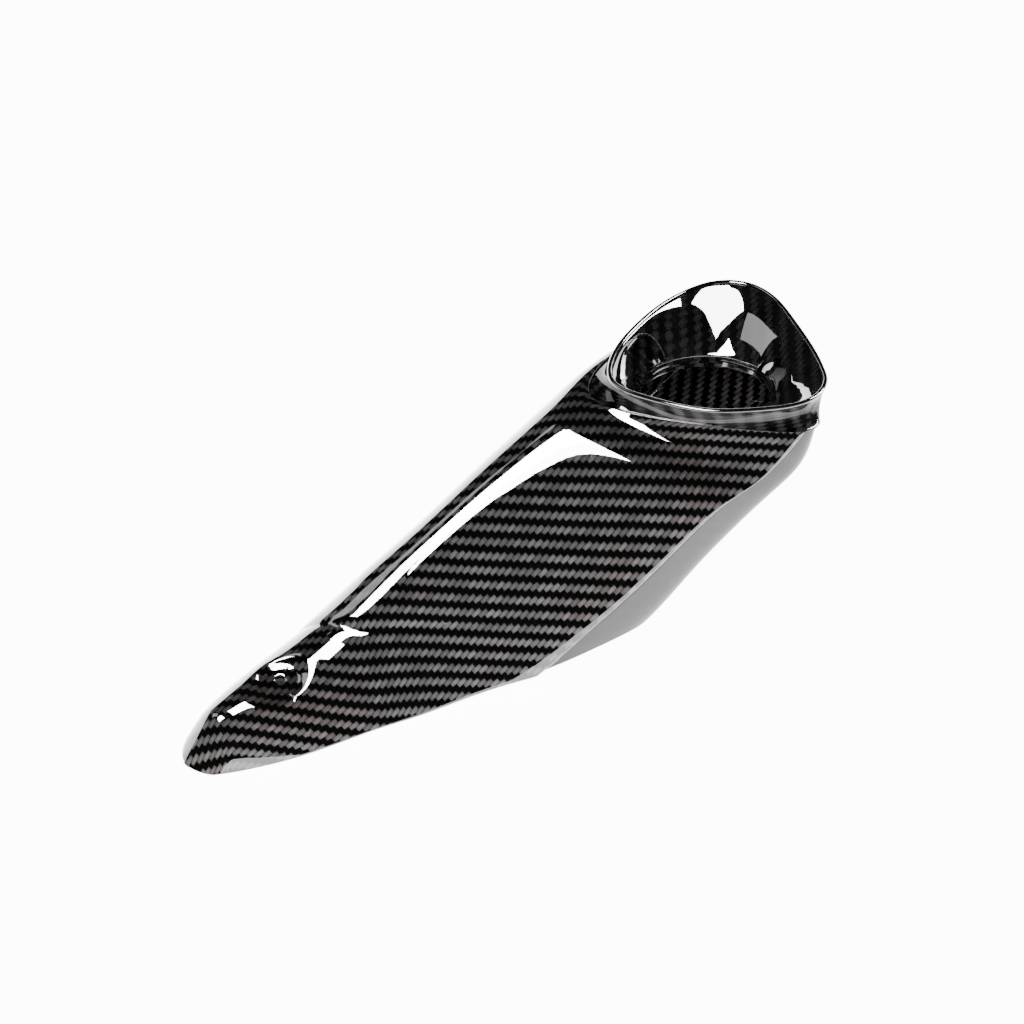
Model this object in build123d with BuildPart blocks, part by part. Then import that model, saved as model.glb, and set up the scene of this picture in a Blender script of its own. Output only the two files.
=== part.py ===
"""Carbon-fibre muffler cover with an outlet horn.

A hollow, boot-shaped cover that lies on its open edge. +X runs from the pointed nose to the
outlet, +Z is up from the open edge, and -Y is the near side. Millimetres throughout.
"""
from build123d import *
from collections import namedtuple
from math import cos, radians, sin
import os

os.makedirs("parts", exist_ok=True)

# ---- driving dimensions ----
WALL = 1.6               # laminate thickness
BOND = 0.15              # glue line between two mouldings
FLANK_SEAT = 2.5         # how far the flank's edge sits inside the outer skin's edge
CORNER_PULL = 0.28       # how far a near wall leans in, as a part of the way to the ridge
SIDE_PULL = 0.3          # how far the inner walls stay below the outer ones
HEEL_WEIGHT = 4.0        # how full the heel is towards its feet
FORM_CLOSE = 4.0         # how far a cavity runs past the edge it opens at
FLANK_CLOSE = 0.05       # the same for the flank, which ends at the S-shaped edge
NOSE_TO_CENTRE = 167.2   # nose tip to the middle of the cover's length
AXIS_TO_CENTRE = 3.6     # nose tip to the middle of the cover's width

BOLT_HOLE_R = 2.75       # M5 clearance hole in the nose
DISH_FLOOR_R = 7.0       # flat of the dished recess round the bolt hole
DISH_SLOPE = 1.1         # how far the dish widens for each millimetre up
DISH_REACH = 14.0        # height of the cutting cone, clear of the crown
DOUBLER_R, DOUBLER_T = 7.2, 1.5

MOUTH_RX, MOUTH_RY = 29.0, 23.5
MOUTH_TURN = -33.0       # long axis of the oval mouth, in plan
MOUTH_DEPTH = 19.5       # from the lip down to the mouth
FUNNEL_WALL = 1.8
FUNNEL_WAIST = 0.20      # where the funnel's wall turns in, from the mouth to the lip
FUNNEL_WAIST_DEPTH = 14.0
THROAT_DEPTH = 6.0

STUD_R = 3.0             # M6
STUD_LENGTH = 24.0
PLATE_R, PLATE_T = 14.0, 1.2
PLATE_HOLE_R, PLATE_HOLES, PLATE_PITCH_R = 1.6, 6, 10.0
DAMPER_R, DAMPER_LENGTH = 9.0, 9.0
GROOVE_R, GROOVE_WIDTH = 6.5, 3.0
SLEEVE_R, SLEEVE_BORE_R = 4.5, 3.2
SLEEVE_HEAD_R, SLEEVE_HEAD_T = 8.0, 1.2
WASHER_R, WASHER_T = 9.0, 1.6
NUT_FLATS, NUT_T = 10.0, 6.0
NEAR_MOUNT = (203.0, -41.2, 15.5)
FAR_MOUNT = (188.0, 39.0, 15.5)

LINER_T = 1.5            # foil-faced mat
LINER_GAP = 0.6
LINER_START, LINER_END = 88.0, 168.0
LINER_EDGE = 14.0        # the mats stop this far above the open edge
LINER_SEAM_Y = 12.0      # the joint between the mats, under the ridge
STUD_CHAMFER = 0.5

# Plan of the outlet's lip, from the near corner round the front to the far corner, then back.
LIP_FRONT = [
    (316, -37), (311, -39.8), (303, -41), (284, -35), (262, -21.5), (246, -1), (238.5, 19),
    (249, 35), (270, 47.5), (291, 54.5), (309, 55.8), (317, 54.4), (324, 51),
]
LIP_BACK = [
    (324, 51), (329.5, 45.5), (334, 34), (332.5, 11.5), (328.5, -9), (323, -27), (320.3, -32.5),
    (316, -37),
]

# One flat cut through the body, as moulded: the corners below z = 0 are trimmed off at the
# open edge. Each has its near corner, ridge and far corner, how far each wall
# rises before it turns in, how tight the crown is, and how far the heel drops at each side.
Station = namedtuple("Station", "near ridge far near_wall far_wall crown near_heel far_heel")


def at(x, y, z):
    """A point given from the nose tip, in the part's own frame."""
    return Vector(x - NOSE_TO_CENTRE, y - AXIS_TO_CENTRE, z)


BODY = [
    Station(at(0, -3, -8), at(0, 1, 13), at(0, 5, -8), 0.80, 0.80, 1.2, 4, 4),
    Station(at(8, -13, -8), at(8, 2, 22), at(8, 15, -8), 0.75, 0.80, 1.2, 4, 4),
    Station(at(25, -20.5, -8), at(25, 3, 27), at(25, 21, -8), 0.68, 0.80, 1.3, 4, 4),
    Station(at(50, -28, -8), at(50, 5, 30), at(50, 28, -8), 0.60, 0.80, 1.5, 4, 4),
    Station(at(80, -33.5, -8), at(80, 8, 35), at(80, 34, -8), 0.52, 0.80, 1.7, 4, 4),
    Station(at(105, -37.5, -8), at(105, 11, 48), at(105, 38, -8), 0.46, 0.80, 1.9, 4, 4),
    Station(at(130, -40.5, -8), at(130, 13, 60), at(130, 41, -8), 0.42, 0.80, 2.0, 6, 5),
    Station(at(157, -43, 0), at(157, 15, 72), at(157, 44, -4), 0.36, 0.80, 2.0, 14, 10),
    Station(at(181, -45, 14.6), at(177, 17, 80), at(184, 46, 2), 0.35, 0.80, 2.0, 28, 16),
    Station(at(205, -46.5, 29.4), at(195, 19, 86), at(212, 48, 12), 0.35, 0.80, 2.0, 42, 22),
    Station(at(230, -48, 47.5), at(206, 21, 89.5), at(240, 50, 26), 0.35, 0.75, 2.0, 36, 22),
    Station(at(254, -48.5, 61.5), at(212, 23, 89), at(272, 52, 44), 0.35, 0.70, 2.0, 36, 32),
    Station(at(276, -48, 66.5), at(215, 24, 87.5), at(300, 53, 54), 0.35, 0.62, 2.0, 31, 31),
    Station(at(298, -47, 81.5), at(216, 23, 85.5), at(320, 53, 62), 0.35, 0.55, 2.0, 12, 16),
]


LIP_NORMAL = Vector(0.115, 0.173, 0.978)
LIP_PLANE = Plane(origin=at(287, 10, 86.5), x_dir=(0.978, 0, -0.115), z_dir=LIP_NORMAL)
MOUTH_CENTRE = (-1.5, 3.0)     # on the lip's plane
DISH_PLANE = Plane(origin=at(52.5, 4, 21), z_dir=(-0.115, -0.173, 0.978))


def station_plane(station):
    """The plane of a station: origin at the near corner, x towards the far corner."""
    across = station.far - station.near
    return Plane(
        origin=station.near, x_dir=across, z_dir=across.cross(station.ridge - station.near)
    )


def moved(station, dx):
    """The same cut, moved along the cover."""
    step = Vector(dx, 0, 0)
    return station._replace(
        near=station.near + step, ridge=station.ridge + step, far=station.far + step
    )


def skin_points(station, inset):
    """Control points of the outer skin's curve, from the near corner over to the far one."""
    plane = station_plane(station)
    ridge = plane.to_local_coords(station.ridge)
    width = (station.far - station.near).length
    rise = station.near_wall * ridge.Y
    crown = (ridge.X, ridge.Y - inset)
    return [
        (inset, 0),
        (CORNER_PULL * station.near_wall * ridge.X + inset, rise - SIDE_PULL * inset),
        crown,
        crown,
        (width - inset, station.far_wall * ridge.Y - SIDE_PULL * inset),
        (width - inset, 0),
    ]


def heel_points(station, inset, spread=0.0):
    """Control points of the heel's curve, from the far corner round to the near one.

    The heel's feet lie below the corners at the same distance from the middle of the cover,
    spread outwards from the flank's seat inside the outer skin.
    """
    plane = station_plane(station)
    width = (station.far - station.near).length
    upright = (plane.x_dir * plane.y_dir.Y - plane.y_dir * plane.x_dir.Y).normalized()
    slide, drop = upright.dot(plane.x_dir), upright.dot(plane.y_dir)
    if drop > 0:
        slide, drop = -slide, -drop
    near_foot = (
        inset - spread + slide * station.near_heel, inset + drop * station.near_heel
    )
    far_foot = (
        width - inset + spread + slide * station.far_heel, inset + drop * station.far_heel
    )
    return [
        (width - inset, 0), far_foot, far_foot, near_foot, near_foot, (inset, 0),
    ]


def skin_form(stations, inset, close):
    """Faces under the outer skin's curve, closed that far below the corners."""
    faces = []
    for station in stations:
        points = skin_points(station, inset)
        with BuildSketch(station_plane(station)) as face:
            with BuildLine():
                Bezier(*points, weights=[1, 1, station.crown, station.crown, 1, 1])
                Polyline(
                    points[-1], (points[-1][0], -close), (points[0][0], -close), points[0]
                )
            make_face()
        faces.append(face.sketch)
    return faces


def heel_form(stations, inset, close):
    """Faces inside the heel's curve, closed that far above the corners."""
    faces = []
    for station in stations:
        points = heel_points(station, inset, FLANK_SEAT)
        with BuildSketch(station_plane(station)) as face:
            with BuildLine():
                Bezier(*points, weights=[1] + 4 * [HEEL_WEIGHT] + [1])
                Polyline(
                    points[-1], (points[-1][0] + close / 2, close),
                    (points[0][0] - close / 4, close), points[0],
                )
            make_face()
        faces.append(face.sketch)
    return faces


def lip_points(plan, inset=0.0):
    """Points of the lip's outline on its plane, moved in towards its middle."""
    points = []
    for x, y in plan:
        lift = (LIP_PLANE.origin - at(x, y, 0)).dot(LIP_PLANE.z_dir) / LIP_PLANE.z_dir.Z
        point = LIP_PLANE.to_local_coords(at(x, y, lift))
        reach = point.length
        points.append(point * ((reach - inset) / reach))
    return points


def mouth_points(plan, grow=0.0):
    """Points of the oval mouth, each in the direction of the lip's point above it."""
    points = []
    for point in lip_points(plan):
        angle = Vector(1, 0, 0).get_signed_angle(point, Vector(0, 0, 1)) - MOUTH_TURN
        x = (MOUTH_RX + grow) * cos(radians(angle))
        y = (MOUTH_RY + grow) * sin(radians(angle))
        turned = Vector(x, y, 0).rotate(Axis.Z, MOUTH_TURN)
        points.append(turned + Vector(*MOUTH_CENTRE, 0))
    return points


def waist_points(plan, grow=0.0):
    """Points of the funnel's waist, between the mouth and the lip."""
    return [
        mouth + (lip - mouth) * FUNNEL_WAIST
        for lip, mouth in zip(lip_points(plan), mouth_points(plan, grow))
    ]


def ring_face(plane, front, back):
    """A closed face from its front and back runs of points, which meet at two slight corners."""
    with BuildSketch(plane) as face:
        with BuildLine():
            Spline(*front)
            Spline(*back)
        make_face()
    return face.sketch


def seam_face(inset):
    """The body's last cut, where the outlet band is joined on."""
    seam = BODY[-1]
    with BuildSketch(station_plane(seam)) as face:
        with BuildLine():
            Bezier(*skin_points(seam, inset), weights=[1, 1, seam.crown, seam.crown, 1, 1])
            Bezier(*heel_points(seam, inset), weights=[1] + 4 * [HEEL_WEIGHT] + [1])
        make_face()
    return face.sketch


def finish_part(builder, label):
    """Label a piece and write it out."""
    builder.part.label = label
    export_step(builder.part, f"parts/{label}.step")
    print(label, len(builder.part.solids()), round(builder.part.volume))


# ---- outer shell: the lacquered skin, trimmed along the S-shaped edge ----
with BuildPart() as cavity:
    loft(skin_form([moved(BODY[0], WALL)] + BODY[1:], WALL, FORM_CLOSE))
    with Locations(DISH_PLANE.offset(-WALL)):
        Cone(
            DISH_FLOOR_R + WALL / 2,
            DISH_FLOOR_R + WALL / 2 + DISH_SLOPE * DISH_REACH,
            DISH_REACH,
            align=(Align.CENTER, Align.CENTER, Align.MIN),
            mode=Mode.SUBTRACT,
        )

with BuildPart() as outer_shell:
    loft(skin_form(BODY, 0, BOND))
    with Locations(DISH_PLANE):
        Cone(
            DISH_FLOOR_R,
            DISH_FLOOR_R + DISH_SLOPE * DISH_REACH,
            DISH_REACH,
            align=(Align.CENTER, Align.CENTER, Align.MIN),
            mode=Mode.SUBTRACT,
        )
        Cylinder(BOLT_HOLE_R, 4 * WALL, mode=Mode.SUBTRACT)
    add(cavity.part, mode=Mode.SUBTRACT)
    split(bisect_by=Plane.XY, keep=Keep.TOP)
finish_part(outer_shell, "outer_shell")

# ---- nose doubler: a round patch bonded under the bolt hole ----
with BuildPart() as nose_doubler:
    with BuildSketch(DISH_PLANE.offset(-WALL - BOND)):
        Circle(DOUBLER_R)
        Circle(BOLT_HOLE_R, mode=Mode.SUBTRACT)
    extrude(amount=-DOUBLER_T)
finish_part(nose_doubler, "nose_doubler")

# ---- flank shell: the smooth undercut heel ----
with BuildPart() as flank_shell:
    loft(heel_form(BODY[6:], FLANK_SEAT, FLANK_CLOSE))
    loft(heel_form(BODY[6:], FLANK_SEAT + WALL, FORM_CLOSE), mode=Mode.SUBTRACT)
    split(bisect_by=Plane.XY, keep=Keep.TOP)
finish_part(flank_shell, "flank_shell")

# ---- outlet collar: the band between the body's end and the lip ----
with BuildPart() as outlet_collar:
    loft([seam_face(0), ring_face(LIP_PLANE, lip_points(LIP_FRONT), lip_points(LIP_BACK))])
    loft(
        [
            seam_face(WALL),
            ring_face(LIP_PLANE, lip_points(LIP_FRONT, WALL), lip_points(LIP_BACK, WALL)),
        ],
        mode=Mode.SUBTRACT,
    )
finish_part(outlet_collar, "outlet_collar")

# ---- outlet funnel: the dished inner moulding, from the lip down to the oval mouth ----
def funnel_faces(inset, grow):
    """The funnel's cuts at the lip, the waist and the mouth."""
    return [
        ring_face(LIP_PLANE, lip_points(LIP_FRONT, inset), lip_points(LIP_BACK, inset)),
        ring_face(
            LIP_PLANE.offset(-FUNNEL_WAIST_DEPTH),
            waist_points(LIP_FRONT, grow),
            waist_points(LIP_BACK, grow),
        ),
        ring_face(
            LIP_PLANE.offset(-MOUTH_DEPTH),
            mouth_points(LIP_FRONT, grow),
            mouth_points(LIP_BACK, grow),
        ),
    ]


with BuildPart() as outlet_funnel:
    loft(funnel_faces(WALL + 2 * BOND, FUNNEL_WALL))
    loft(funnel_faces(WALL + 2 * BOND + FUNNEL_WALL, 0), mode=Mode.SUBTRACT)
finish_part(outlet_funnel, "outlet_funnel")

# ---- throat sleeve: the short oval ring bonded under the mouth ----
with BuildPart() as throat_sleeve:
    with BuildSketch(LIP_PLANE.offset(-MOUTH_DEPTH - BOND)):
        with Locations(MOUTH_CENTRE):
            Ellipse(MOUTH_RX + FUNNEL_WALL, MOUTH_RY + FUNNEL_WALL, rotation=MOUTH_TURN)
            Ellipse(MOUTH_RX, MOUTH_RY, rotation=MOUTH_TURN, mode=Mode.SUBTRACT)
    extrude(amount=-THROAT_DEPTH)
finish_part(throat_sleeve, "throat_sleeve")


# ---- heat liners: foil-faced mats bonded under the crown, one each side of the ridge ----
def liner(side):
    """Half of the mat under the outer skin: side is -1 near, 1 far."""
    seam_y = at(0, LINER_SEAM_Y, 0).Y + side * LINER_GAP
    with BuildPart() as mat:
        loft(skin_form(BODY[1:], WALL + LINER_GAP, 1))
        loft(skin_form(BODY[1:], WALL + LINER_GAP + LINER_T, FORM_CLOSE), mode=Mode.SUBTRACT)
        split(bisect_by=Plane.XY.offset(LINER_EDGE), keep=Keep.TOP)
        split(bisect_by=Plane.YZ.offset(LINER_START - NOSE_TO_CENTRE), keep=Keep.TOP)
        split(bisect_by=Plane.YZ.offset(LINER_END - NOSE_TO_CENTRE), keep=Keep.BOTTOM)
        split(bisect_by=Plane.ZX.offset(seam_y), keep=Keep.TOP if side > 0 else Keep.BOTTOM)
    return mat


for side, label in ((-1, "near_heat_liner"), (1, "far_heat_liner")):
    finish_part(liner(side), label)

# ---- rear fixings: a bonded stud plate, rubber damper, sleeve, washer and nut at each side ----
NEAR_PLANE = Plane(origin=at(*NEAR_MOUNT), x_dir=(1, 0, 0), z_dir=(0, 1, 0))
FAR_PLANE = Plane(origin=at(*FAR_MOUNT), x_dir=(1, 0, 0), z_dir=(0, -1, 0))
DAMPER_TOP = PLATE_T + DAMPER_LENGTH
WASHER_BASE = DAMPER_TOP + SLEEVE_HEAD_T
NUT_BASE = WASHER_BASE + WASHER_T

for side, plane in (("near", NEAR_PLANE), ("far", FAR_PLANE)):
    with BuildPart() as stud_plate:
        with BuildSketch(plane):
            Circle(PLATE_R)
            Circle(STUD_R, mode=Mode.SUBTRACT)
            with PolarLocations(PLATE_PITCH_R, PLATE_HOLES):
                Circle(PLATE_HOLE_R, mode=Mode.SUBTRACT)
        extrude(amount=PLATE_T)
    finish_part(stud_plate, f"{side}_stud_plate")

    with BuildPart() as damper:
        with BuildSketch(plane.offset(PLATE_T)):
            Circle(DAMPER_R)
            Circle(SLEEVE_R, mode=Mode.SUBTRACT)
        extrude(amount=DAMPER_LENGTH)
        with BuildSketch(plane.offset(PLATE_T + (DAMPER_LENGTH - GROOVE_WIDTH) / 2)):
            Circle(DAMPER_R)
            Circle(GROOVE_R, mode=Mode.SUBTRACT)
        extrude(amount=GROOVE_WIDTH, mode=Mode.SUBTRACT)
    finish_part(damper, f"{side}_damper")

    with BuildPart() as sleeve:
        with BuildSketch(plane.offset(PLATE_T)):
            Circle(SLEEVE_R)
            Circle(SLEEVE_BORE_R, mode=Mode.SUBTRACT)
        extrude(amount=DAMPER_LENGTH)
        with BuildSketch(plane.offset(DAMPER_TOP)):
            Circle(SLEEVE_HEAD_R)
            Circle(SLEEVE_BORE_R, mode=Mode.SUBTRACT)
        extrude(amount=SLEEVE_HEAD_T)
    finish_part(sleeve, f"{side}_sleeve")

with BuildPart() as rear_studs:
    with BuildSketch(NEAR_PLANE, FAR_PLANE):
        Circle(STUD_R)
    extrude(amount=STUD_LENGTH)
    free_ends = rear_studs.faces().filter_by(Plane.XZ).sort_by(Axis.Y)[1:3]
    chamfer(free_ends.edges(), STUD_CHAMFER)
finish_part(rear_studs, "rear_studs")

with BuildPart() as rear_washers:
    with BuildSketch(NEAR_PLANE.offset(WASHER_BASE), FAR_PLANE.offset(WASHER_BASE)):
        Circle(WASHER_R)
        Circle(SLEEVE_BORE_R, mode=Mode.SUBTRACT)
    extrude(amount=WASHER_T)
finish_part(rear_washers, "rear_washers")

with BuildPart() as rear_nuts:
    with BuildSketch(NEAR_PLANE.offset(NUT_BASE), FAR_PLANE.offset(NUT_BASE)):
        RegularPolygon(NUT_FLATS / 2, 6, major_radius=False)
        Circle(STUD_R, mode=Mode.SUBTRACT)
    extrude(amount=NUT_T)
finish_part(rear_nuts, "rear_nuts")
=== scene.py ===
"""Looks of the carbon-fibre muffler cover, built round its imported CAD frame."""

import math

import bpy
import numpy as np
from mathutils import Matrix, Vector


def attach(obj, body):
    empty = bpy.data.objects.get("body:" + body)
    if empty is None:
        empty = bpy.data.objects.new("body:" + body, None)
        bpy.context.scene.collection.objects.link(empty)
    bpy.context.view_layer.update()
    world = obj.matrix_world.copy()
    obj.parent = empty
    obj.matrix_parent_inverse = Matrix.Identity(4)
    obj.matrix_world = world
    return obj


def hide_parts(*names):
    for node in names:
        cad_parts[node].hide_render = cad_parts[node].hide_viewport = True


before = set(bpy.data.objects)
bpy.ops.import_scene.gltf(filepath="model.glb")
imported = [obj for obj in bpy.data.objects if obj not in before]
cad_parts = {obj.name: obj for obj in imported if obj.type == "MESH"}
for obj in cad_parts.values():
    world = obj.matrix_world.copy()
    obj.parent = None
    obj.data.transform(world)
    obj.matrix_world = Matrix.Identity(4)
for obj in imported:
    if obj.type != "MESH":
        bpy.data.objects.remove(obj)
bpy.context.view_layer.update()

# ---- sizes, in millimetres from the nose tip ----
NOSE = np.array([167.2, 3.6, 0.0])   # nose tip to the frame's origin
WALL = 1.6
TOW = 2.25                           # width of one tow of the 2x2 twill
EDGE = 0.45                          # how far a moulding's edge is rounded
DISH_ORIGIN = np.array([52.5, 4.0, 21.0])
DISH_AXIS = np.array([-0.115, -0.173, 0.978])
DISH_R, DISH_SLOPE, HOLE_R = 7.0, 1.1, 2.75
DISH_REACH = 26.0                    # the dish changes nothing farther out than this
DISH_ROUND = 0.9                     # how softly the dish meets the skin
DISH_FLOOR = 0.5                     # rise of the dish's floor from the hole to its side
DISH_RIM, DISH_RIM_WIDTH = 0.25, 2.0
DISH_STRETCH = (0.72, 0.85)          # the dish is longer towards the nose tip
SNAP = 0.35                          # points this near the hole's edge move onto it
LIP_ORIGIN = np.array([287.0, 10.0, 86.5])
LIP_AXIS = np.array([0.115, 0.173, 0.978])
LIP_X = np.array([0.978, 0.0, -0.115])
MOUTH_RX, MOUTH_RY, MOUTH_TURN = 29.0, 23.5, math.radians(-33.0)
MOUTH_CENTRE = np.array([-1.5, 3.0])
MOUTH_DEPTH, WAIST_DEPTH, WAIST = 19.5, 14.0, 0.20
WAIST_PLACE = 0.78                   # where the waist comes along the bowl's side
LIP_R = 1.15                         # radius of the rolled lip
BOWL_GAP = 0.1                       # between the lip's inner side and the bowl
BAND_WALL, BOWL_WALL, THROAT_WALL = 0.9, 1.2, 1.0
BAND_HOLLOW = 1.6                    # how far the band's side curves in
BAND_ROWS = 26
THROAT_OUT = 0.9                     # the throat ring's clearance outside the mouth
FLANK_SEAT = 1.75                    # how far the flank sits in from the outer skin
FRONT_COUNT, BACK_COUNT = 171, 81    # points round the seam and lip, front and back

# the crease in plan, and how strongly the pod swells up behind it
CREASE = [(76, 30), (84, 12), (92, 2), (104, -6), (124, -15), (160, -27), (205, -36)]
SWELL_X = [76, 92, 110, 160, 205]
SWELL = [1.0, 2.0, 2.0, 1.0, 0.0]
SWELL_RUN, SWELL_FADE = 4.0, 40.0    # distances over which the swelling rises and dies
SKIRT = 12.0                         # below this height the swelling fades out
VALLEY, VALLEY_WIDTH = 0.25, 2.2     # the groove along the crease

# near corner, ridge, far corner, near wall, far wall, crown, near heel, far heel,
# and how far the near wall leans in
BODY = np.array([
    (0, -9, -8, 0, 1.3, 19, 0, 9, -8, 0.86, 0.90, 1.1, 4, 4, 0.36),
    (8, -14, -8, 8, 2, 22, 8, 13.5, -8, 0.84, 0.85, 1.1, 4, 4, 0.36),
    (25, -21, -8, 25, 3, 27, 25, 21, -8, 0.84, 0.80, 1.1, 4, 4, 0.36),
    (50, -28, -8, 50, 5, 30, 50, 28, -8, 0.84, 0.80, 1.2, 4, 4, 0.34),
    (80, -33.5, -8, 80, 8, 35, 80, 34, -8, 0.64, 0.80, 1.5, 4, 4, 0.28),
    (105, -37.5, -8, 105, 11, 48, 105, 38, -8, 0.48, 0.80, 1.8, 4, 4, 0.15),
    (130, -40.5, -8, 130, 13, 60, 130, 41, -8, 0.42, 0.80, 2.0, 6, 5, 0.118),
    (157, -43, 0, 157, 15, 72, 157, 44, -4, 0.36, 0.80, 2.0, 14, 10, 0.10),
    (181, -45, 14.6, 177, 17, 80, 184, 46, 2, 0.35, 0.80, 2.0, 28, 16, 0.098),
    (205, -46.5, 29.4, 195, 19, 86, 212, 48, 12, 0.35, 0.80, 2.0, 42, 22, 0.098),
    (230, -48, 47.5, 206, 21, 89.5, 240, 50, 26, 0.35, 0.75, 2.0, 36, 22, 0.098),
    (254, -48.5, 61.5, 212, 23, 89, 272, 52, 44, 0.35, 0.70, 2.0, 36, 32, 0.098),
    (276, -48, 66.5, 215, 24, 87.5, 300, 53, 54, 0.35, 0.62, 2.0, 31, 31, 0.098),
    (298, -47, 81.5, 216, 23, 85.5, 320, 53, 62, 0.35, 0.55, 2.0, 12, 16, 0.098),
])
LAST = len(BODY) - 1.0
LIP_FRONT = [
    (316, -37), (311, -39.8), (303, -41), (284, -35), (262, -21.5), (246, -1), (238.5, 19),
    (249, 35), (270, 47.5), (291, 54.5), (309, 55.8), (317, 54.4), (324, 51),
]
LIP_BACK = [
    (324, 51), (329.5, 45.5), (334, 34), (332.5, 11.5), (328.5, -9), (323, -27),
    (320.3, -32.5), (316, -37),
]


# ---- curves ----
def unit(v):
    return v / np.maximum(np.linalg.norm(v, axis=-1, keepdims=True), 1e-12)


def spline(knots, values, t):
    """Natural cubic spline through rows of values."""
    x, y = np.asarray(knots, float), np.asarray(values, float)
    h = np.diff(x)
    n = len(x)
    a = np.eye(n)
    rhs = np.zeros_like(y)
    for i in range(1, n - 1):
        a[i, i - 1:i + 2] = h[i - 1], 2 * (h[i - 1] + h[i]), h[i]
        rhs[i] = 6 * ((y[i + 1] - y[i]) / h[i] - (y[i] - y[i - 1]) / h[i - 1])
    m = np.linalg.solve(a, rhs)
    t = np.asarray(t, float)
    k = np.clip(np.searchsorted(x, t, side="right") - 1, 0, n - 2)
    s = h[k][..., None]
    f = ((t - x[k]) / h[k])[..., None]
    g = 1 - f
    return g * y[k] + f * y[k + 1] + s**2 * ((g**3 - g) * m[k] + (f**3 - f) * m[k + 1]) / 6


def even(points, count):
    """The same number of evenly spaced points along each row of a grid."""
    step = np.linalg.norm(np.diff(points, axis=1), axis=2)
    run = np.concatenate([np.zeros((len(points), 1)), np.cumsum(step, 1)], 1)
    out = np.empty((len(points), count, 3))
    for r in range(len(points)):
        want = np.linspace(0, run[r, -1], count)
        for axis in range(3):
            out[r, :, axis] = np.interp(want, run[r], points[r, :, axis])
    return out


def bezier(points, weights, s):
    """Rational Bezier curves: points (rows, n, 2), weights (rows, n), s (samples)."""
    degree = points.shape[1] - 1
    powers = np.arange(degree + 1)
    choose = np.array([math.comb(degree, k) for k in powers])
    basis = choose * s[:, None] ** powers * (1 - s[:, None]) ** (degree - powers)
    mix = basis[None] * weights[:, None, :]
    return np.einsum("rsk,rkd->rsd", mix, points) / mix.sum(2)[..., None]


def stations(t):
    """The body's cuts at these places along it, each with its own plane."""
    row = spline(np.arange(len(BODY)), BODY, t)
    near, ridge, far = row[:, 0:3], row[:, 3:6], row[:, 6:9]
    across = unit(far - near)
    normal = unit(np.cross(across, ridge - near))
    up = np.cross(normal, across)
    top = np.stack([((ridge - near) * across).sum(1), ((ridge - near) * up).sum(1)], 1)
    width = np.linalg.norm(far - near, axis=1)
    return row, near, across, up, top, width


def in_space(near, across, up, flat):
    return near[:, None] + flat[..., :1] * across[:, None] + flat[..., 1:] * up[:, None]


def skin(t, s):
    """The outer skin's curves, from the near corner over the ridge to the far corner."""
    row, near, across, up, top, width = stations(t)
    zero = np.zeros(len(t))
    rise = row[:, 9] * top[:, 1]
    points = np.stack([
        np.stack([zero, zero], 1),
        np.stack([row[:, 14] * top[:, 0], rise], 1),
        top, top,
        np.stack([width, row[:, 10] * top[:, 1]], 1),
        np.stack([width, zero], 1),
    ], 1)
    one = np.ones(len(t))
    weights = np.stack([one, one, row[:, 11], row[:, 11], one, one], 1)
    return in_space(near, across, up, bezier(points, weights, s))


def heel(t, s, inset, spread):
    """The heel's curves, from the far corner round to the near corner."""
    row, near, across, up, _, width = stations(t)
    upright = unit(across * up[:, 1:2] - up * across[:, 1:2])
    slide, drop = (upright * across).sum(1), (upright * up).sum(1)
    sign = np.where(drop > 0, -1.0, 1.0)
    slide, drop = slide * sign, drop * sign
    near_foot = np.stack([inset - spread + slide * row[:, 12], inset + drop * row[:, 12]], 1)
    far_foot = np.stack(
        [width - inset + spread + slide * row[:, 13], inset + drop * row[:, 13]], 1
    )
    start = np.stack([width - inset, np.zeros(len(t))], 1)
    end = np.stack([np.full(len(t), inset), np.zeros(len(t))], 1)
    points = np.stack([start, far_foot, far_foot, near_foot, near_foot, end], 1)
    weights = np.tile(np.array([1, 4, 4, 4, 4, 1.0]), (len(t), 1))
    return in_space(near, across, up, bezier(points, weights, s))


# ---- closed mouldings from their outer surface ----
def grid_faces(rows, columns):
    index = np.arange(rows * columns).reshape(rows, columns)
    corners = [index[:-1, :-1], index[:-1, 1:], index[1:, 1:], index[1:, :-1]]
    return np.stack(corners, -1).reshape(-1, 4)


def face_normals(points, faces):
    return np.cross(
        points[faces[:, 2]] - points[faces[:, 0]], points[faces[:, 3]] - points[faces[:, 1]]
    )


def point_normals(points, faces):
    normals = np.zeros_like(points)
    each = face_normals(points, faces)
    for corner in range(4):
        np.add.at(normals, faces[:, corner], each)
    return unit(normals)


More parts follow.
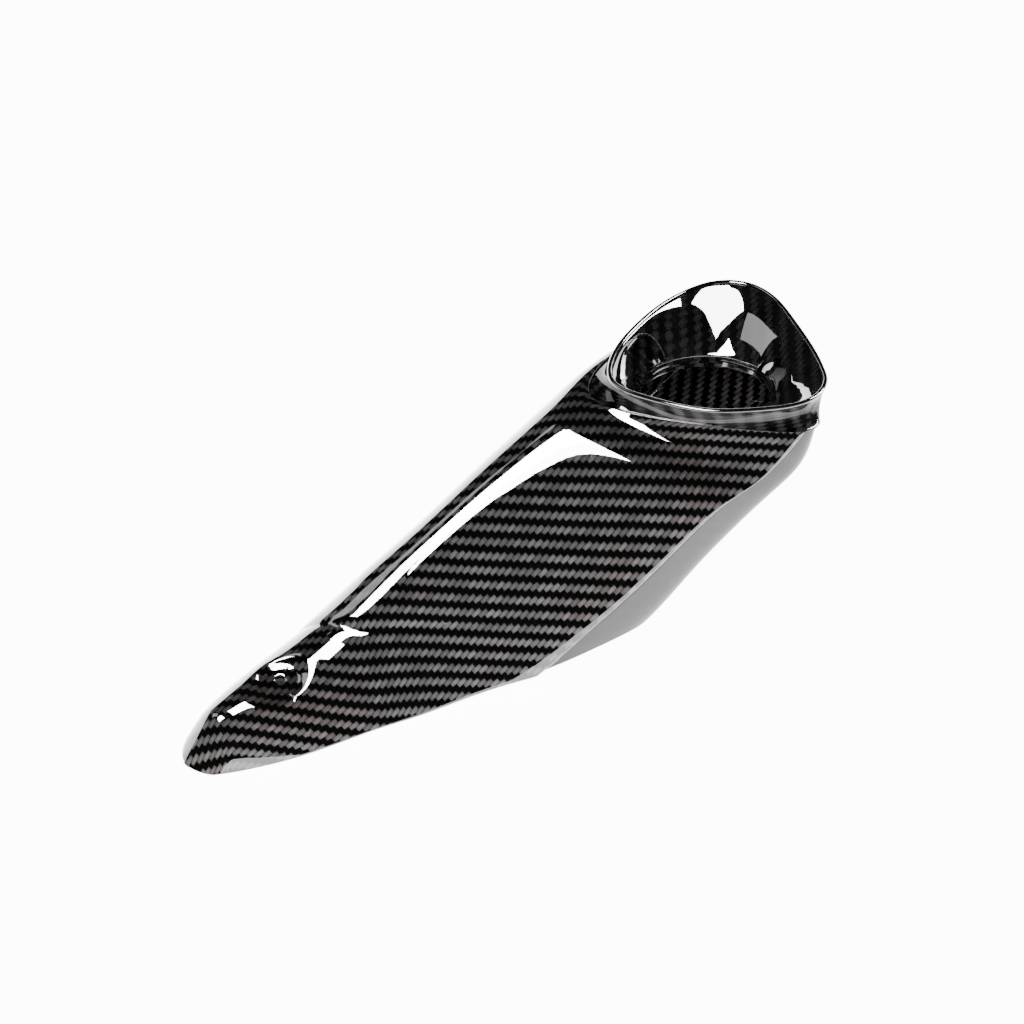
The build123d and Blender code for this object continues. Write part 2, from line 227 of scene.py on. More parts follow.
def solid(name, grid, uvs, same, wall, materials, drop=None, trim_from=None):
    """A closed moulding with rounded edges. grid is the surface that shows, same says which
    of its points are one and the same, and faces are left out where drop marks all corners.
    Faces in rows from trim_from on get the third material."""
    rows, columns = grid.shape[:2]
    points = grid.reshape(-1, 3)
    flat_uv = uvs.reshape(-1, 2)
    # every grid here runs so that its faces face outwards only once they are turned over
    uv_faces = grid_faces(rows, columns)[:, ::-1]
    if drop is not None:
        uv_faces = uv_faces[~drop[uv_faces].all(1)]
    faces = same[uv_faces]
    normals = point_normals(points, faces)
    count = len(points)
    inner = points - normals * wall
    edges = np.stack([faces, np.roll(faces, -1, 1)], -1).reshape(-1, 2)
    edge_uv = np.stack([uv_faces, np.roll(uv_faces, -1, 1)], -1).reshape(-1, 2)
    key = edges.min(1) * count + edges.max(1)
    _, first, times = np.unique(key, return_index=True, return_counts=True)
    first = first[times == 1]
    rim, rim_uv = edges[first], edge_uv[first]
    keep = rim[:, 0] != rim[:, 1]
    rim, rim_uv = rim[keep], rim_uv[keep]
    outward = np.zeros_like(points)
    side = np.cross(unit(points[rim[:, 1]] - points[rim[:, 0]]), normals[rim[:, 0]])
    np.add.at(outward, rim[:, 0], side)
    np.add.at(outward, rim[:, 1], side)
    outward = unit(outward)
    layers = [points]
    for angle in np.radians([40, 90, 140]):
        layers.append(
            points - normals * (wall / 2) * (1 - math.cos(angle))
            + outward * EDGE * math.sin(angle)
        )
    layers.append(inner)
    all_points = np.concatenate(layers)
    all_points[:, 2] = np.maximum(all_points[:, 2], 0.0)
    all_faces = [faces, faces[:, ::-1] + 4 * count]
    all_uv = [flat_uv[uv_faces], flat_uv[uv_faces[:, ::-1]]]
    trim = np.zeros(len(faces), int)
    if trim_from is not None:
        trim[uv_faces.min(1) // columns >= trim_from] = 2
    kinds = [trim, np.ones(len(faces), int)]
    for k in range(4):
        lower, upper = rim + k * count, rim + (k + 1) * count
        all_faces.append(np.stack([lower[:, 1], lower[:, 0], upper[:, 0], upper[:, 1]], 1))
        quad = np.stack([rim_uv[:, 1], rim_uv[:, 0], rim_uv[:, 0], rim_uv[:, 1]], 1)
        all_uv.append(flat_uv[quad])
        kinds.append(np.zeros(len(rim), int))
    return mesh(
        name, all_points, np.concatenate(all_faces), np.concatenate(all_uv),
        np.concatenate(kinds), materials,
    )


def mesh(name, points, faces, uvs, kinds, materials):
    """A smooth-shaded object from points in millimetres from the nose tip."""
    used, packed = np.unique(faces, return_inverse=True)
    packed = packed.reshape(faces.shape)
    polygons, loops_uv, chosen = [], [], []
    for face, uv, kind in zip(packed.tolist(), uvs.tolist(), kinds.tolist()):
        corners = [k for k in range(4) if face[k] != face[k - 1]]
        if len(corners) > 2:
            polygons.append([face[k] for k in corners])
            loops_uv.extend(uv[k] for k in corners)
            chosen.append(kind)
    data = bpy.data.meshes.new(name)
    data.from_pydata(((points[used] - NOSE) / 1000).tolist(), [], polygons)
    layer = data.uv_layers.new(name="Weave")
    layer.data.foreach_set("uv", np.array(loops_uv, np.float32).ravel())
    for material in materials:
        data.materials.append(material)
    data.polygons.foreach_set("material_index", np.array(chosen, np.int32))
    data.polygons.foreach_set("use_smooth", np.ones(len(polygons), bool))
    data.update()
    obj = bpy.data.objects.new(name, data)
    bpy.context.scene.collection.objects.link(obj)
    return obj


def weave_uv(grid, along, start):
    """Cloth coordinates in tows: along one direction, and across it from a start column."""
    step = np.diff(grid, axis=1)
    step = step - (step @ along)[..., None] * along
    run = np.concatenate(
        [np.zeros((len(grid), 1)), np.cumsum(np.linalg.norm(step, axis=2), 1)], 1
    )
    return np.stack([grid @ along, run[:, start:start + 1] - run], 2) / TOW


# ---- material helpers ----
class Nodes:
    """Short names for adding and joining shader nodes."""

    def __init__(self, name):
        self.material = bpy.data.materials.new(name)
        self.material.use_nodes = True
        self.tree = self.material.node_tree
        self.shader = self.tree.nodes["Principled BSDF"]

    def link(self, source, target):
        self.tree.links.new(source, target)

    def set(self, **values):
        for name, value in values.items():
            socket = self.shader.inputs[name.replace("_", " ")]
            if hasattr(value, "is_output"):
                self.link(value, socket)
            else:
                socket.default_value = value

    def node(self, kind, inputs=(), **settings):
        node = self.tree.nodes.new(kind)
        for name, value in settings.items():
            setattr(node, name, value)
        for name, value in dict(inputs).items():
            if hasattr(value, "is_output"):
                self.link(value, node.inputs[name])
            else:
                node.inputs[name].default_value = value
        return node

    def math(self, operation, a, b=0.0, c=0.0):
        node = self.tree.nodes.new("ShaderNodeMath")
        node.operation = operation
        for k, value in enumerate((a, b, c)):
            if hasattr(value, "is_output"):
                self.link(value, node.inputs[k])
            else:
                node.inputs[k].default_value = value
        return node.outputs[0]

    def mix(self, factor, a, b):
        node = self.tree.nodes.new("ShaderNodeMix")
        for socket, value in zip((0, 2, 3), (factor, a, b)):
            if hasattr(value, "is_output"):
                self.link(value, node.inputs[socket])
            else:
                node.inputs[socket].default_value = value
        return node.outputs[0]

    def mix_colour(self, factor, a, b):
        node = self.tree.nodes.new("ShaderNodeMix")
        node.data_type = "RGBA"
        for socket, value in zip((0, 6, 7), (factor, a, b)):
            if hasattr(value, "is_output"):
                self.link(value, node.inputs[socket])
            else:
                node.inputs[socket].default_value = value
        return node.outputs[2]

    def noise(self, vector, scale, detail=2.0, roughness=0.5):
        node = self.node(
            "ShaderNodeTexNoise",
            {"Vector": vector, "Scale": scale, "Detail": detail, "Roughness": roughness},
        )
        return node.outputs["Fac"]

    def vector(self, x, y, z=0.0):
        return self.node("ShaderNodeCombineXYZ", {"X": x, "Y": y, "Z": z}).outputs[0]

    def place(self):
        return self.node("ShaderNodeNewGeometry").outputs["Position"]

    def ramp(self, factor, *stops):
        node = self.node("ShaderNodeValToRGB", {"Fac": factor})
        elements = node.color_ramp.elements
        while len(elements) < len(stops):
            elements.new(0.5)
        for element, (position, colour) in zip(elements, stops):
            element.position = position
            element.color = (*colour, 1) if len(colour) == 3 else colour
        return node.outputs["Color"]


def grey(value, warm=0.0):
    return (value * (1 + warm), value, value * (1 - warm), 1)


def carbon(name, bright, dark, messy=0.0, gloss=1.0, rough=0.45, relief=0.00012, swirl=0.0):
    """2x2 twill under lacquer, or bare when gloss is 0. The warp floats' bright colour is a
    painted sheen, the light the tows reflect painted into the colour; the weft stays near
    black.
    """
    n = Nodes(name)
    uv = n.node("ShaderNodeUVMap", uv_map="Weave").outputs[0]
    if messy:
        wander = n.node(
            "ShaderNodeTexNoise", {"Vector": n.place(), "Scale": 45.0, "Detail": 1.0}
        ).outputs["Color"]
        shift = n.node(
            "ShaderNodeVectorMath", {0: wander, 1: (0.5, 0.5, 0.5)}, operation="SUBTRACT"
        ).outputs[0]
        shift = n.node("ShaderNodeVectorMath", {0: shift}, operation="SCALE")
        shift.inputs["Scale"].default_value = messy
        moved = {0: uv, 1: shift.outputs[0]}
        uv = n.node("ShaderNodeVectorMath", moved, operation="ADD").outputs[0]
    split = n.node("ShaderNodeSeparateXYZ", {0: uv})
    u, v = split.outputs[0], split.outputs[1]
    i, j = n.math("FLOOR", u), n.math("FLOOR", v)
    fu, fv = n.math("FRACT", u), n.math("FRACT", v)
    order = n.math("SUBTRACT", i, j)
    phase = n.math("FLOORED_MODULO", order, 4.0)
    warp = n.math("LESS_THAN", phase, 1.5)
    across = n.mix(warp, fu, fv)
    along = n.mix(
        warp,
        n.math("ADD", n.math("SUBTRACT", 3.0, phase), fv),
        n.math("ADD", phase, fu),
    )
    centre = n.math("ABSOLUTE", n.math("SUBTRACT", n.math("MULTIPLY", across, 2.0), 1.0))
    dome = n.math("SUBTRACT", 1.0, n.math("POWER", centre, 3.0))
    arch = n.math("SINE", n.math("MULTIPLY", along, math.pi / 2))
    height = n.math("MULTIPLY", n.math("ADD", n.math("MULTIPLY", arch, 0.6), 0.4), dome)
    tow = n.mix(warp, i, j)
    each = n.node(
        "ShaderNodeTexWhiteNoise",
        {"Vector": n.vector(tow, n.math("FLOOR", n.math("DIVIDE", order, 4.0)), warp)},
    ).outputs["Value"]
    fibres = n.mix(
        warp,
        n.noise(n.vector(n.math("MULTIPLY", u, 9.0), n.math("MULTIPLY", v, 0.5)), 1.0, 3.0),
        n.noise(n.vector(n.math("MULTIPLY", u, 0.5), n.math("MULTIPLY", v, 9.0)), 1.0, 3.0),
    )
    # Painted highlight and shade on each tow: brightest mid-float, darker where the float dips
    # at its ends and towards its rounded edges, where the dark gaps between tows also show;
    # each tow also gets a random tone, and fibre grain runs along it
    tow_shading_and_grain = n.math("ADD", n.math("MULTIPLY", arch, 0.45), 0.55)
    tow_shading_and_grain = n.math("MULTIPLY", tow_shading_and_grain, n.math("ADD", n.math("MULTIPLY", each, 0.55), 0.72))
    tow_shading_and_grain = n.math("MULTIPLY", tow_shading_and_grain, n.math("ADD", n.math("MULTIPLY", fibres, 1.5), 0.25))
    tow_shading_and_grain = n.math("MULTIPLY", tow_shading_and_grain, n.math("ADD", n.math("MULTIPLY", dome, 0.6), 0.4))
    patches = n.noise(n.place(), 22.0, 2.0)
    # The warp floats' painted sheen, varied in random patches of tone
    patchy_warp_sheen = n.ramp(
        patches,
        (0.30, (bright * 0.80, bright * 0.84, bright * 0.78)),
        (0.50, (bright, bright * 0.97, bright * 0.95)),
        (0.70, (bright * 1.06, bright * 0.90, bright * 0.86)),
    )
    # Painted sheen on the warp floats, near-black weft between them
    shown = n.mix_colour(warp, grey(dark), patchy_warp_sheen)
    # The colour takes on the painted tow shading
    colour = n.node(
        "ShaderNodeVectorMath", {0: shown, 1: n.vector(tow_shading_and_grain, tow_shading_and_grain, tow_shading_and_grain)}, operation="MULTIPLY"
    ).outputs[0]
    if swirl:
        cloud = n.ramp(n.noise(n.place(), 70.0, 4.0, 0.6), (0.42, (0, 0, 0)), (0.72, (1, 1, 1)))
        colour = n.mix_colour(
            n.math("MULTIPLY", cloud, swirl), colour, grey(bright * 0.8, 0.03)
        )
    bump = n.node(
        "ShaderNodeBump", {"Height": height, "Distance": relief, "Strength": 0.8}
    ).outputs[0]
    n.set(
        Base_Color=colour, Roughness=rough, Normal=bump, Coat_Weight=gloss,
        Coat_Roughness=0.02, Specular_IOR_Level=0.0,
    )
    if gloss:
        ripple = n.node(
            "ShaderNodeBump",
            {"Height": n.noise(n.place(), 90.0, 2.0), "Distance": 0.0004, "Strength": 0.12},
        ).outputs[0]
        n.link(ripple, n.shader.inputs["Coat Normal"])
    return n.material


def plain(name, first, second, rough, metal=0.0, scale=200.0, relief=0.0):
    """A finish that varies between two colours."""
    n = Nodes(name)
    pattern = n.noise(n.place(), scale, 3.0)
    n.set(
        Base_Color=n.ramp(pattern, (0.35, first), (0.65, second)),
        Roughness=n.mix(pattern, rough * 0.85, rough * 1.15), Metallic=metal,
    )
    if relief:
        bump = n.node(
            "ShaderNodeBump", {"Height": pattern, "Distance": relief, "Strength": 0.7}
        ).outputs[0]
        n.link(bump, n.shader.inputs["Normal"])
    return n.material


# In each copy the first number is the warp floats' painted sheen and the second the weft's
# colour. The flank's and lip's copies are far darker than the skin's, painted shade that mutes
# their weave.
lacquered = carbon("lacquered_twill", 0.075, 0.0012)
inside = carbon("inner_twill", 0.05, 0.003, messy=0.3, gloss=0.25, rough=0.34, relief=0.0003)
band = carbon("band_twill", 0.030, 0.002, messy=1.0, gloss=0.3, swirl=0.5)
bowl = carbon("funnel_twill", 0.026, 0.0025, messy=0.7, swirl=0.35)
side = carbon("flank_twill", 0.006, 0.003, messy=0.2, gloss=0.4, relief=0.00003)
sleeve_mat = carbon("throat_twill", 0.05, 0.008, messy=0.6)
lip_mat = carbon("lip_twill", 0.010, 0.004, messy=1.5, swirl=0.4)
raw = carbon("raw_twill", 0.12, 0.01, messy=0.3, gloss=0.0, rough=0.45)

# ---- outer skin ----
HALF = 61                            # points from an edge of the skin to the ridge
NOSE_ROUND = 8.0                     # length over which the tip is rounded in plan
NOSE_CLIMB = 18.0                    # length over which the tip climbs to full height
HIDDEN = 99.0                        # higher than any point of the skin


def skin_rows():
    """Places along the body for the skin's rows, closest together at the nose."""
    tip = NOSE_ROUND * (1 - np.cos(np.linspace(0, np.pi / 2, 16)[:-1]))
    reach = np.concatenate([
        tip, np.arange(8, 27, 0.9), np.arange(27, 80, 0.62), np.arange(80, 130, 1.0),
    ])
    fine = np.linspace(0, 6, 601)
    x_of_t = spline(np.arange(len(BODY)), BODY, fine)[:, 0]
    return np.concatenate([np.interp(reach, x_of_t, fine), np.linspace(6, LAST, 141)])


def round_nose(dense, ridge):
    """Draw the skin in to the ridge line and down to the floor at the tip."""
    x = np.clip(dense[:, :1, 0], 0, NOSE_ROUND)
    swell = np.sqrt(np.clip(1 - (1 - x / NOSE_ROUND) ** 2, 0, 1))
    low = ridge[:, None, 1]
    dense[:, :, 1] = low + (dense[:, :, 1] - low) * swell
    climb = np.clip(dense[:, :1, 0] / NOSE_CLIMB, 0, 1)
    dense[:, :, 2] = dense[:, :, 2] * (1 - (1 - climb) ** 1.5)
    return dense


def halves(curves, ridge):
    """Even points from the near edge up to the ridge and on down to the far edge."""
    out = np.empty((len(curves), 2 * HALF - 1, 3))
    for r, curve in enumerate(curves):
        sound = curve[:, 2] >= EDGE
        a, b = np.argmax(sound), len(sound) - 1 - np.argmax(sound[::-1])
        run = list(curve[a:b + 1])
        if a > 0:
            f = (EDGE - curve[a - 1, 2]) / (curve[a, 2] - curve[a - 1, 2])
            run.insert(0, curve[a - 1] + f * (curve[a] - curve[a - 1]))
        if b < len(sound) - 1:
            f = (EDGE - curve[b + 1, 2]) / (curve[b, 2] - curve[b + 1, 2])
            run.append(curve[b + 1] + f * (curve[b] - curve[b + 1]))
        run = np.array(run)
        top = np.argmax(run[:, 2] - 0.15 * np.abs(run[:, 1] - ridge[r, 1]))
        near = even(run[None, :top + 1], HALF)[0]
        far = even(run[None, top:], HALF)[0]
        out[r] = np.concatenate([near, far[1:]])
    return out


def crease_distance(points):
    """Signed distance of each point from the crease in plan, and where along it."""
    steps = np.linspace(0, len(CREASE) - 1, 241)
    line = spline(np.arange(len(CREASE)), np.array(CREASE, float), steps)
    flat = points[..., :2].reshape(-1, 2)
    gap = flat[:, None] - line[None]
    nearest = np.argmin((gap**2).sum(2), 1)
    distance = np.sqrt((gap**2).sum(2).min(1))
    tangent = np.gradient(line, axis=0)[nearest]
    offset = flat - line[nearest]
    above = np.sign(tangent[:, 0] * offset[:, 1] - tangent[:, 1] * offset[:, 0])
    place = line[nearest][:, 0]
    return (distance * above).reshape(points.shape[:2]), place.reshape(points.shape[:2])


def raise_pod(outer, same):
    """The pod swells up from the tongue behind a crease that fades towards the heel."""
    lift, place = crease_distance(outer)
    strength = np.interp(place, SWELL_X, SWELL)
    rise = np.where(lift > 0, 1 - np.exp(-lift / SWELL_RUN), 0)
    rise = rise * np.exp(-np.clip(lift, 0, None) / SWELL_FADE)
    normals = -point_normals(outer.reshape(-1, 3), same[grid_faces(*outer.shape[:2])])
    normals = normals.reshape(outer.shape)
    fade = np.clip(outer[..., 2:] / SKIRT, 0, 1)
    outer = outer + normals * (strength * rise)[..., None] * fade
    valley = VALLEY * np.exp(-((lift / VALLEY_WIDTH) ** 2)) * strength
    return outer - normals * valley[..., None] * fade


def from_hole(points, axis):
    """Height over the dish's floor, and the way across from the hole's middle."""
    offset = points - DISH_ORIGIN
    height = offset @ axis
    return height, offset - height[..., None] * axis


def sink_dish(outer):
    """Press the dished recess round the bolt hole into the skin."""
    axis = unit(DISH_AXIS)
    height, radial = from_hole(outer, axis)
    stretch = np.where(radial[..., :1] < 0, *DISH_STRETCH)
    distance = np.linalg.norm(radial * stretch, axis=-1)
    side = np.maximum(0, (distance - DISH_R) / DISH_SLOPE)
    cone = side + DISH_FLOOR * np.clip((distance - HOLE_R) / DISH_R, 0, 1) ** 2
    rim = DISH_RIM * np.exp(-((distance - DISH_R) / DISH_RIM_WIDTH) ** 2)
    cone = np.where(distance < DISH_REACH, cone + rim, HIDDEN)
    fuse = np.exp(-np.abs(height - cone) / DISH_ROUND)
    lowered = np.minimum(height, cone) - DISH_ROUND * np.log1p(fuse)
    lowered = np.where(distance < DISH_REACH, lowered, height)
    return outer + (lowered - height)[..., None] * axis


def open_hole(outer):
    """Move the points at the bolt hole's edge onto it, and mark the ones inside it."""
    _, radial = from_hole(outer, unit(DISH_AXIS))
    cut = (np.linalg.norm(radial, axis=-1) < HOLE_R + SNAP).reshape(-1)
    faces = grid_faces(*outer.shape[:2])
    kept = faces[~cut[faces].all(1)]
    edge = np.intersect1d(np.unique(kept), np.nonzero(cut)[0])
    points, radial = outer.reshape(-1, 3), radial.reshape(-1, 3)
    points[edge] += unit(radial[edge]) * HOLE_R - radial[edge]
    return points.reshape(outer.shape), cut


def outer_skin():
    """The skin's grid, its points that are one and the same, and the hole's points."""
    t_rows = skin_rows()
    ridge = spline(np.arange(len(BODY)), BODY, t_rows)[:, 3:6]
    dense = round_nose(skin(t_rows, np.linspace(0, 1, 801)), ridge)
    outer = halves(dense, ridge)
    outer[0, HALF:] = outer[0, :HALF - 1][::-1]
    columns = outer.shape[1]
    same = np.arange(outer.shape[0] * columns)
    same[HALF:columns] = np.arange(HALF - 1)[::-1]
    outer, cut = open_hole(sink_dish(raise_pod(outer, same)))
    return outer, same, cut


RIDGE_WAY = unit(BODY[10, 3:6] - BODY[2, 3:6])
outer, skin_same, cut = outer_skin()
shell = solid(
    "outer_shell_skin", outer, weave_uv(outer, RIDGE_WAY, HALF - 1), skin_same, WALL,
    [lacquered, inside], drop=cut,
)
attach(shell, "root")
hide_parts("outer_shell")

# ---- flank ----
FLANK_ROWS, FLANK_COLUMNS = 90, 131


def flank_grid():
    """The heel's surface from the plane of the open edge up to the seam."""
    s_cols = np.linspace(0, 1, FLANK_COLUMNS)
    t_fine = np.linspace(6.5, LAST, 400)
    sweep = heel(t_fine, s_cols, FLANK_SEAT, FLANK_SEAT * 0.9)
    grid = np.empty((FLANK_ROWS, FLANK_COLUMNS, 3))
    for c in range(FLANK_COLUMNS):
        column = sweep[:, c]
        start = np.argmax(column[:, 2] >= EDGE)
        f = 0.0
        if start > 0:
            f = (EDGE - column[start - 1, 2]) / (column[start, 2] - column[start - 1, 2]) - 1
        want = np.linspace(start + f, len(t_fine) - 1, FLANK_ROWS)
        for k in range(3):
            grid[:, c, k] = np.interp(want, np.arange(len(t_fine)), column[:, k])
    return grid


flank = flank_grid()
flank_obj = solid(
    "flank_skin", flank, weave_uv(flank, RIDGE_WAY, FLANK_COLUMNS // 2),
    np.arange(FLANK_ROWS * FLANK_COLUMNS), WALL, [side, inside],
)
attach(flank_obj, "root")
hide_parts("flank_shell")


# ---- outlet ----
LIP_N = unit(LIP_AXIS)
LIP_XU = unit(LIP_X)
LIP_YU = np.cross(LIP_N, LIP_XU)
CLOTH_TURN = math.radians(12)        # of the bowl's cloth against the lip's own axes


def lip_ring():
    """The lip's outline on its plane, closed, with the same places round it as the seam."""
    runs = []
    for plan, count in ((LIP_FRONT, FRONT_COUNT), (LIP_BACK, BACK_COUNT)):
        plan = np.array(plan, float)
        z = LIP_ORIGIN[2] - (plan - LIP_ORIGIN[:2]) @ LIP_N[:2] / LIP_N[2]
        space = np.column_stack([plan, z]) - LIP_ORIGIN
        flat = np.stack([space @ LIP_XU, space @ LIP_YU], 1)
        knots = np.concatenate([[0], np.cumsum(np.linalg.norm(np.diff(flat, axis=0), axis=1))])
        fine = spline(knots, flat, np.linspace(0, knots[-1], 1200))
        fine = np.column_stack([fine, np.zeros(1200)])
        runs.append(even(fine[None], count)[0, :, :2])
    return np.concatenate([runs[0], runs[1][1:]])


def seam_ring():
    """The body's far end, round the skin and back round the heel."""
    end, fine = np.array([LAST]), np.linspace(0, 1, 900)
    front = even(skin(end, fine), FRONT_COUNT)[0]
    back = even(heel(end, fine, 0.0, 0.0), BACK_COUNT)[0]
    return np.concatenate([front, back[1:]])


def on_lip(flat, depth=0.0):
    return LIP_ORIGIN + flat[:, :1] * LIP_XU + flat[:, 1:] * LIP_YU - depth * LIP_N


def drawn_in(flat, inset):
    length = np.linalg.norm(flat, axis=1, keepdims=True)
    return flat * (length - inset) / length


def mouth_ring(lip):
    """The oval mouth, with the same places round it as the lip."""
    angle = np.arctan2(lip[:, 1], lip[:, 0]) - MOUTH_TURN
    x, y = MOUTH_RX * np.cos(angle), MOUTH_RY * np.sin(angle)
    c, s = math.cos(MOUTH_TURN), math.sin(MOUTH_TURN)
    return np.stack([x * c - y * s, x * s + y * c], 1) + MOUTH_CENTRE


def below_mouth(mouth, inset, depth):
    return on_lip(MOUTH_CENTRE + drawn_in(mouth - MOUTH_CENTRE, inset), MOUTH_DEPTH + depth)


def band_grid(lip, seam):
    """The band from the seam up to the lip, over the roll and a little way down inside."""
    top_ring = on_lip(lip, LIP_R)
    inward = unit(LIP_ORIGIN - 30 * LIP_N - top_ring)
    rows = []
    for v in np.linspace(0, 1, BAND_ROWS):
        hollow = BAND_HOLLOW * math.sin(math.pi * v)
        rows.append((1 - v) * seam + v * top_ring + inward * hollow)
    rows[0] = rows[0] + unit(top_ring - seam) * EDGE
    for a in np.radians([22, 45, 68, 90, 112, 135, 158, 180]):
        inset, depth = LIP_R - LIP_R * math.cos(a), LIP_R - LIP_R * math.sin(a)
        rows.append(on_lip(drawn_in(lip, inset), depth))
    rows.append(on_lip(drawn_in(lip, 2 * LIP_R), LIP_R + 1.5))
    return np.array(rows)


def bowl_grid(lip, mouth):
    """The bowl from inside the lip down past the waist, and in over the mouth's edge."""
    top = on_lip(drawn_in(lip, 2 * LIP_R + BOWL_GAP), LIP_R + 0.2)
    waist = on_lip(mouth + (lip - mouth) * WAIST, WAIST_DEPTH)
    edge = on_lip(mouth, MOUTH_DEPTH)
    rows = []
    for v in np.linspace(0, 1, 44):
        a = (v - WAIST_PLACE) * (v - 1) / WAIST_PLACE
        b = v * (v - 1) / (WAIST_PLACE * (WAIST_PLACE - 1))
        c = v * (v - WAIST_PLACE) / (1 - WAIST_PLACE)
        rows.append(a * top + b * waist + c * edge)
    for inset, depth in ((0.35, 0.5), (0.55, 1.1), (0.6, 2.0), (0.6, 3.2)):
        rows.append(below_mouth(mouth, inset, depth))
    return np.array(rows)


def throat_grid(mouth):
    return np.array([
        below_mouth(mouth, -THROAT_OUT, depth) for depth in np.linspace(1.2, 7.6, 9)
    ])


def ring_same(rows, columns):
    index = np.arange(rows * columns).reshape(rows, columns)
    index[:, -1] = index[:, 0]
    return index.reshape(-1)


def ring_uv(grid):
    around = np.concatenate(
        [[0], np.cumsum(np.linalg.norm(np.diff(grid[-1], axis=0), axis=1))]
    )
    up = np.concatenate([
        np.zeros((1, grid.shape[1])),
        np.cumsum(np.linalg.norm(np.diff(grid, axis=0), axis=2), 0),
    ])
    return np.stack([np.tile(around, (len(grid), 1)), up], 2) / TOW


def lip_uv(grid):
    """Cloth laid flat over the outlet, its ribs running away from the near side."""
    flat = grid - LIP_ORIGIN
    x, y = flat @ LIP_XU, flat @ LIP_YU
    c, s = math.cos(CLOTH_TURN), math.sin(CLOTH_TURN)
    return np.stack([x * c + y * s, y * c - x * s], 2) / TOW


lip = lip_ring()
mouth = mouth_ring(lip)
collar = band_grid(lip, seam_ring())
collar_obj = solid(
    "outlet_band", collar, ring_uv(collar), ring_same(*collar.shape[:2]), BAND_WALL,
    [band, inside, lip_mat], trim_from=BAND_ROWS - 2,
)
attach(collar_obj, "root")
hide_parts("outlet_collar")

funnel = bowl_grid(lip, mouth)
funnel_obj = solid(
    "outlet_bowl", funnel, lip_uv(funnel), ring_same(*funnel.shape[:2]), BOWL_WALL,
    [bowl, inside],
)
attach(funnel_obj, "root")
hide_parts("outlet_funnel")

throat = throat_grid(mouth)
throat_obj = solid(
    "throat_ring", throat, ring_uv(throat), ring_same(*throat.shape[:2]), THROAT_WALL,
    [sleeve_mat, inside],
)
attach(throat_obj, "root")
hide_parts("throat_sleeve")

# ---- carried-over pieces ----
foil = plain("foil_faced_mat", (0.55, 0.55, 0.56), (0.78, 0.78, 0.79), 0.32, 1.0, 160, 0.0006)
steel = plain("brushed_stainless", (0.42, 0.42, 0.43), (0.58, 0.58, 0.59), 0.33, 1.0, 300)
zinc = plain("zinc_plate", (0.50, 0.51, 0.53), (0.66, 0.66, 0.67), 0.28, 1.0, 260)
alloy = plain("turned_alloy", (0.62, 0.62, 0.63), (0.75, 0.75, 0.76), 0.26, 1.0, 350)
black = plain("black_rubber", (0.012, 0.012, 0.013), (0.03, 0.03, 0.03), 0.75, 0.0, 400, 0.0001)
FINISHES = {
    "nose_doubler": raw, "near_heat_liner": foil, "far_heat_liner": foil,
    "near_stud_plate": steel, "far_stud_plate": steel, "near_damper": black,
    "far_damper": black, "near_sleeve": alloy, "far_sleeve": alloy,
    "rear_studs": zinc, "rear_washers": zinc, "rear_nuts": zinc,
}
for name, material in FINISHES.items():
    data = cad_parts[name].data
    data.materials.clear()
    data.materials.append(material)

# ---- floor, light and camera ----
FLOOR_GLOW = 12.0
# the cover's footprint in the row frame, in metres, where the floor's glow is cut off as a
# painted shadow: it is narrower at the nose
FOOT_NOSE, FOOT_WIDE = -0.16, -0.04
NOSE_HALF, WIDE_HALF = 0.008, 0.040
FOOT_MIDDLE, FOOT_HALF = -0.05, 0.105


def pale_floor():
    """A floor that glows, except under the cover and a little way round it, a painted shadow
    that also keeps the cover's inside dark.
    """
    bpy.ops.mesh.primitive_plane_add(size=9.0)
    plane = bpy.context.object
    plane.name = "floor"
    ground = Nodes("pale_floor")
    spot = ground.node("ShaderNodeSeparateXYZ", {0: ground.place()})
    half_width = ground.node(
        "ShaderNodeMapRange",
        {
            "Value": spot.outputs[0], "From Min": FOOT_NOSE, "From Max": FOOT_WIDE,
            "To Min": NOSE_HALF, "To Max": WIDE_HALF,
        },
    ).outputs[0]
    past_side = ground.math(
        "SUBTRACT", ground.math("ABSOLUTE", spot.outputs[1]), half_width
    )
    from_middle = ground.math("SUBTRACT", spot.outputs[0], FOOT_MIDDLE)
    past_end = ground.math("SUBTRACT", ground.math("ABSOLUTE", from_middle), FOOT_HALF)
    # No glow over the footprint, fading back in just past it: painted shadow
    clear = ground.node(
        "ShaderNodeMapRange",
        {
            "Value": ground.math("MAXIMUM", past_side, past_end),
            "From Min": -0.006, "From Max": 0.002,
        },
    ).outputs[0]
    ground.set(
        Base_Color=grey(0.9), Roughness=0.6, Specular_IOR_Level=0.2,
        Emission_Strength=ground.math("MULTIPLY", clear, FLOOR_GLOW),
        Emission_Color=(1, 1, 1, 1),
    )
    plane.data.materials.append(ground.material)
    return plane


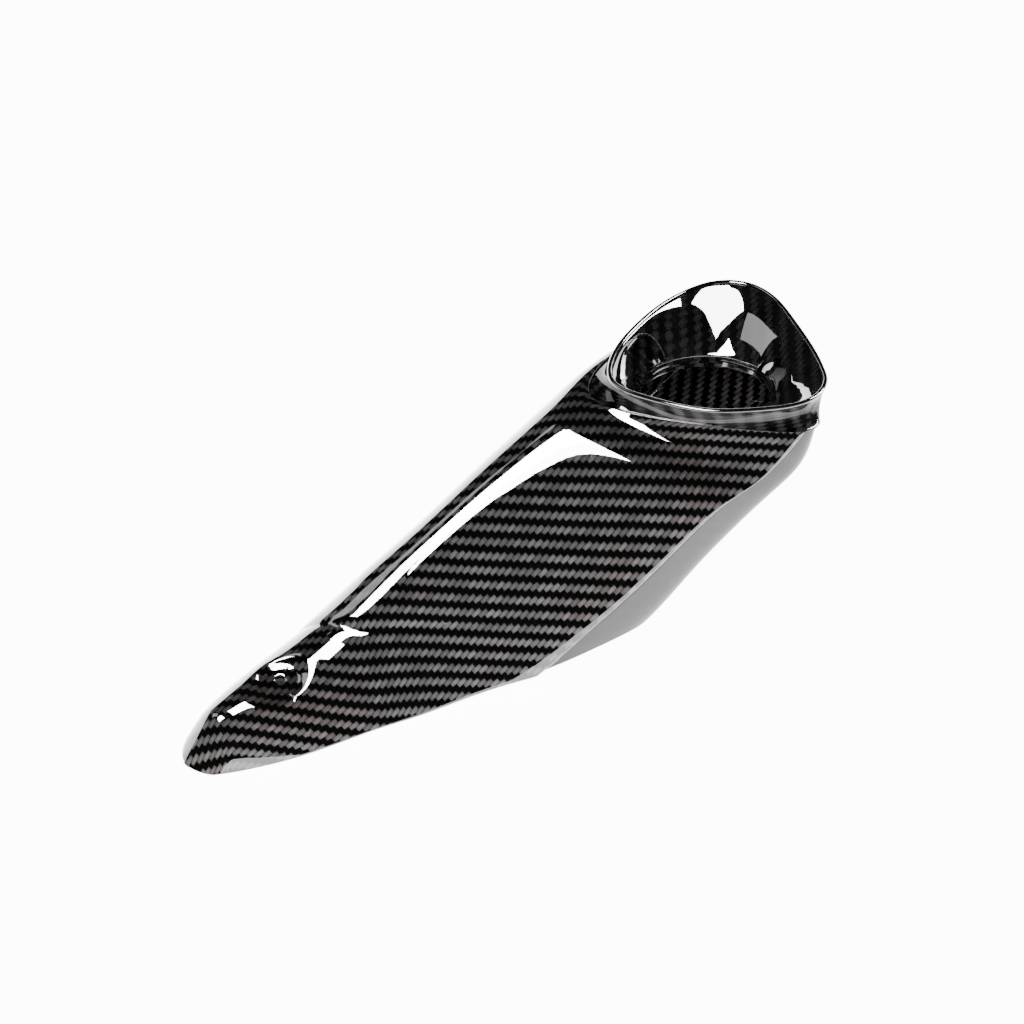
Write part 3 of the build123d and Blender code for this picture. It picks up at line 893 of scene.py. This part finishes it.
def softbox(name, place, target, width, height, power):
    """A rectangular light in the row frame, in metres, with its width level."""
    light = bpy.data.lights.new(name, "AREA")
    light.shape = "RECTANGLE"
    light.size, light.size_y = width, height
    light.energy = power
    obj = bpy.data.objects.new(name, light)
    bpy.context.scene.collection.objects.link(obj)
    obj.location = place
    back = Vector(place) - Vector(target)
    side_way = Vector((1, 0, 0))
    if math.hypot(back.x, back.y) > 0.1:
        side_way = Vector((-back.y, back.x, 0))
    up_way = back.cross(side_way)
    side_way = up_way.cross(back)
    facing = Matrix([side_way.normalized(), up_way.normalized(), back.normalized()])
    obj.rotation_euler = facing.transposed().to_euler()
    return obj


def light_only(lamp, pieces):
    """Let a lamp light these pieces and nothing else."""
    receivers = bpy.data.collections.new(lamp.name + "_receivers")
    for piece in pieces:
        receivers.objects.link(piece)
    lamp.light_linking.receiver_collection = receivers


floor = pale_floor()

world = bpy.context.scene.world or bpy.data.worlds.new("studio")
bpy.context.scene.world = world
world.use_nodes = True
sky = world.node_tree.nodes["Background"].inputs
sky["Color"].default_value = (0.9, 0.93, 1.0, 1)
sky["Strength"].default_value = 0.06

# name, place, what it faces, width, height, power
SOFTBOXES = (
    ("overhead_strip", (-0.75, -0.08, 1.5), (-0.75, -0.08, 0), 1.00, 0.60, 620),
    ("nose_light", (-0.09, -0.07, 0.5), (-0.09, -0.07, 0), 0.13, 0.24, 31),
    ("outlet_light", (0.40, 0.225, 1.5), (0.40, 0.225, 0), 1.10, 0.95, 650),
    ("side_light", (1.3, -0.25, 0.75), (0.1, 0.03, 0.08), 0.30, 1.1, 240),
    ("back_light", (-0.91, 1.17, 1.34), (0, 0, 0), 0.75, 1.35, 24),
)
# the strip stays out of the outlet, and the outlet's lamp stays off the body
LINKED = {
    "overhead_strip": (shell, flank_obj),
    "outlet_light": (funnel_obj, throat_obj),
}
for spec in SOFTBOXES:
    lamp = softbox(*spec)
    lamp.visible_diffuse = False
    if spec[0] in LINKED:
        light_only(lamp, LINKED[spec[0]])
softbox("soft_key", (-0.8, -1.2, 2.4), (0, 0, 0), 2.0, 2.0, 60).visible_glossy = False

AIM = Vector((0.0344, 0.0395, 0.0))
TOWARDS = Vector((-0.3548, -0.5360, 0.7660))
DISTANCE = 6.4
camera = bpy.data.cameras.new("camera")
camera.lens = 500
camera.clip_end = 50
eye = bpy.data.objects.new("camera", camera)
bpy.context.scene.collection.objects.link(eye)
eye.location = AIM + TOWARDS.normalized() * DISTANCE
eye.rotation_euler = TOWARDS.to_track_quat("Z", "Y").to_euler()
bpy.context.scene.camera = eye
